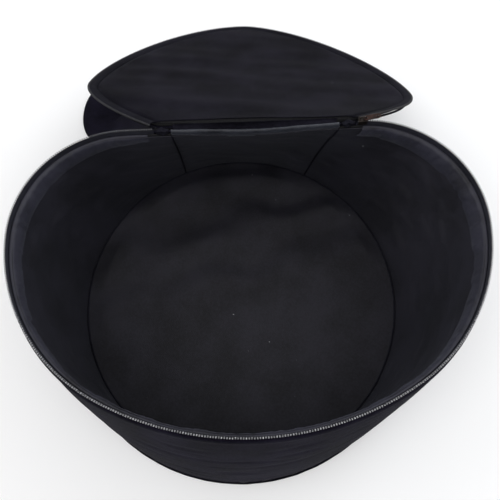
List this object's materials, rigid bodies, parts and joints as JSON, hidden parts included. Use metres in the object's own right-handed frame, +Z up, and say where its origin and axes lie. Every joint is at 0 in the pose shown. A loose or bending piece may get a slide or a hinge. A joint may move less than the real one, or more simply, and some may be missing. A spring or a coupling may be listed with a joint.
{
  "type": "padded handpan bag",
  "caption": "Round padded black nylon carrying bag for a handpan, standing open with its zipped lid turned back on a fabric hinge and padded shoulder straps under the lid.",
  "frame": {"origin": "centre of the round base, on the surface that the bag stands on", "axes": "+Z up, +Y from the bag's middle to its hinge and on along the opened lid, +X to the right of that"},
  "size_m": [0.7164, 0.9187, 0.2507],
  "materials": {
    "shell_nylon": "plain-woven matt black nylon",
    "lining_nylon": "fine matt black lining with a soft sheen",
    "foam": "closed-cell padding, hidden",
    "binding": "ribbed black binding tape and webbing",
    "zip_coil": "black nylon coil with small glints",
    "slider_metal": "worn dark nickel",
    "buckle_plastic": "moulded black acetal"
  },
  "bodies": {
    "bag": {"base_outer_panel": "shell_nylon", "base_foam_pad": "foam", "base_lining": "lining_nylon", "base_piping": "binding", "floor_seam_binding": "binding", "wall_outer_panel": "shell_nylon", "wall_foam_pad": "foam", "wall_lining": "lining_nylon", "hinge_panel_lining": "lining_nylon", "left_seam_binding": "binding", "right_seam_binding": "binding", "rim_facing_band": "lining_nylon", "hinge_binding": "binding", "mouth_zip_tape": "binding", "mouth_zip_coil": "zip_coil", "left_zip_end_tab": "binding", "right_zip_end_tab": "binding"},
    "lid": {"lid_hinge_strip": "shell_nylon", "lid_outer_panel": "shell_nylon", "lid_foam_pad": "foam", "lid_lining": "lining_nylon", "lid_edge_piping": "binding", "lid_zip_tape": "binding", "lid_zip_coil": "zip_coil", "left_strap_upper_patch": "binding", "left_strap_pad": "shell_nylon", "left_strap_buckle": "buckle_plastic", "left_strap_webbing": "binding", "left_strap_lower_patch": "binding", "right_strap_upper_patch": "binding", "right_strap_pad": "shell_nylon", "right_strap_buckle": "buckle_plastic", "right_strap_webbing": "binding", "right_strap_lower_patch": "binding"},
    "slider": {"zip_slider": "slider_metal", "slider_bail": "slider_metal"},
    "pull": {"pull_tab": "slider_metal"}
  },
  "joints": [
    {"name": "lid_hinge", "type": "hinge", "parent": "bag", "child": "lid", "pos_m": [0.0364, 0.2226, 0.2425], "axis": [1, 0, 0], "range_deg": [0, 208]},
    {"name": "slider_travel", "type": "hinge", "parent": "bag", "child": "slider", "pos_m": [0.2042, 0.0546, 0.2366], "axis": [0, 0, -1], "range_deg": [0, 88]},
    {"name": "pull_swing", "type": "hinge", "parent": "slider", "child": "pull", "pos_m": [0.2042, 0.2226, 0.2434], "axis": [0, -1, 0], "range_deg": [0, 152]}
  ]
}
